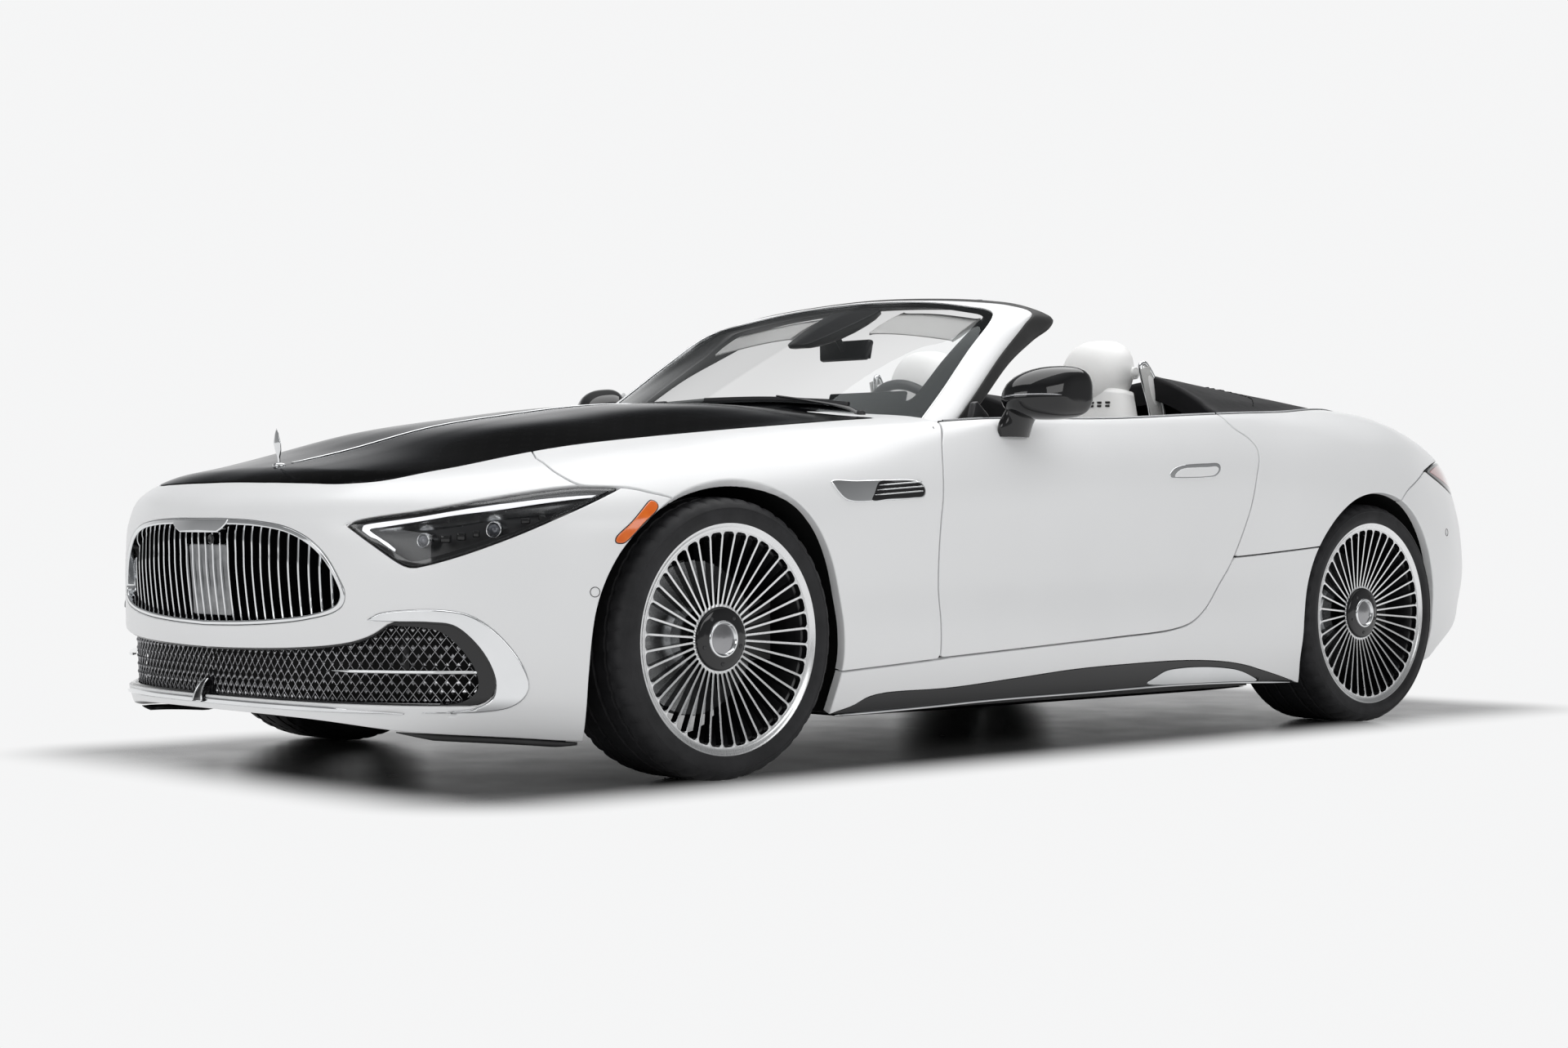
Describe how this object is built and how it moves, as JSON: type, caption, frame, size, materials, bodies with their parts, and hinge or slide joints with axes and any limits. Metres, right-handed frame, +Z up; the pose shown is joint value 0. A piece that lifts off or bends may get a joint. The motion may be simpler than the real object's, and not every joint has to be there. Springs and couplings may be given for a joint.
{
  "type": "two-seat roadster car",
  "caption": "Low open two-seat roadster with a long hood, upright barred grille, raked windscreen frame, faired deck behind the seats and multi-spoke wheels.",
  "frame": {"origin": "on the ground, under the middle of the car's length and width", "axes": "+X to the car's left, -Y towards its front, +Z up"},
  "size_m": [2.1, 4.6951, 1.311],
  "materials": {
    "white_paint": "satin white",
    "black_gloss": "gloss black",
    "glass": "clear",
    "lamp": "clear over dark",
    "red_lamp": "red, clear",
    "chrome": "polished",
    "black_plastic": "matte",
    "tyre": "matte rubber",
    "wheel_metal": "machined and dark painted",
    "dark_metal": "dull",
    "leather": "smooth white",
    "dark_leather": "smooth dark"
  },
  "bodies": {
    "body": {"boot_floor": "black_plastic", "centre_console": "leather", "cowl": "black_plastic", "dashboard": "dark_leather", "engine_block": "dark_metal", "exhaust": "dark_metal", "floor_pan": "black_plastic", "front_axle": "dark_metal", "front_bulkhead": "black_plastic", "front_bumper": "white_paint", "front_rails": "dark_metal", "front_wing_left": "white_paint", "front_wing_right": "white_paint", "grille": "chrome", "headlamps": "lamp", "knuckle_rear_left": "dark_metal", "knuckle_rear_right": "dark_metal", "lower_grille": "black_plastic", "rear_axle": "dark_metal", "rear_bulkhead": "black_plastic", "rear_bumper": "white_paint", "rear_quarter_left": "white_paint", "rear_quarter_right": "white_paint", "seat_left": "leather", "seat_right": "leather", "side_sill_left": "white_paint", "side_sill_right": "white_paint", "tail_lamps": "red_lamp", "tonneau_cover": "black_gloss", "windshield": "glass", "windshield_frame": "white_paint", "wipers": "black_plastic"},
    "hood": {"hood": "black_gloss", "hood_ornament": "chrome"},
    "trunk_lid": {"trunk_lid": "white_paint"},
    "door_left": {"door_left": "white_paint", "door_trim_left": "leather", "mirror_left": "black_gloss"},
    "door_right": {"door_right": "white_paint", "door_trim_right": "leather", "mirror_right": "black_gloss"},
    "steering_wheel": {"steering_wheel": "dark_leather"},
    "knuckle_front_left": {"knuckle_front_left": "dark_metal"},
    "knuckle_front_right": {"knuckle_front_right": "dark_metal"},
    "wheel_front_left": {"tyre_front_left": "tyre", "rim_front_left": "wheel_metal"},
    "wheel_front_right": {"tyre_front_right": "tyre", "rim_front_right": "wheel_metal"},
    "wheel_rear_left": {"tyre_rear_left": "tyre", "rim_rear_left": "wheel_metal"},
    "wheel_rear_right": {"tyre_rear_right": "tyre", "rim_rear_right": "wheel_metal"}
  },
  "joints": [
    {"name": "hood_hinge", "type": "hinge", "parent": "body", "child": "hood", "pos_m": [0, -0.69, 0.916], "axis": [-1, 0, 0], "range_deg": [0, 55]},
    {"name": "trunk_lid_hinge", "type": "hinge", "parent": "body", "child": "trunk_lid", "pos_m": [0, 1.45, 0.984], "axis": [1, 0, 0], "range_deg": [0, 60]},
    {"name": "door_left_hinge", "type": "hinge", "parent": "body", "child": "door_left", "pos_m": [0.9325, -0.6825, 0.6], "axis": [0, 0, -1], "range_deg": [0, 65]},
    {"name": "door_right_hinge", "type": "hinge", "parent": "body", "child": "door_right", "pos_m": [-0.9325, -0.6825, 0.6], "axis": [0, 0, 1], "range_deg": [0, 65]},
    {"name": "steer_left", "type": "hinge", "parent": "body", "child": "knuckle_front_left", "pos_m": [0.735, -1.4335, 0.349], "axis": [0, 0, 1], "range_deg": [-32, 32]},
    {"name": "steer_right", "type": "hinge", "parent": "body", "child": "knuckle_front_right", "pos_m": [-0.735, -1.4335, 0.349], "axis": [0, 0, 1], "range_deg": [-32, 32]},
    {"name": "steering_wheel_turn", "type": "hinge", "parent": "body", "child": "steering_wheel", "pos_m": [0.38, -0.24, 0.87], "axis": [0, 0.9272, 0.3746], "range_deg": [-416, 416]},
    {"name": "spin_front_left", "type": "hinge", "parent": "knuckle_front_left", "child": "wheel_front_left", "pos_m": [0.8035, -1.4335, 0.349], "axis": [1, 0, 0], "continuous": true},
    {"name": "spin_front_right", "type": "hinge", "parent": "knuckle_front_right", "child": "wheel_front_right", "pos_m": [-0.8035, -1.4335, 0.349], "axis": [1, 0, 0], "continuous": true},
    {"name": "spin_rear_left", "type": "hinge", "parent": "body", "child": "wheel_rear_left", "pos_m": [0.789, 1.2665, 0.346], "axis": [1, 0, 0], "continuous": true},
    {"name": "spin_rear_right", "type": "hinge", "parent": "body", "child": "wheel_rear_right", "pos_m": [-0.789, 1.2665, 0.346], "axis": [1, 0, 0], "continuous": true}
  ],
  "couplings": [
    {"joint": "steer_right", "follows": "steer_left", "ratio": 1},
    {"joint": "steering_wheel_turn", "follows": "steer_left", "ratio": 13}
  ]
}
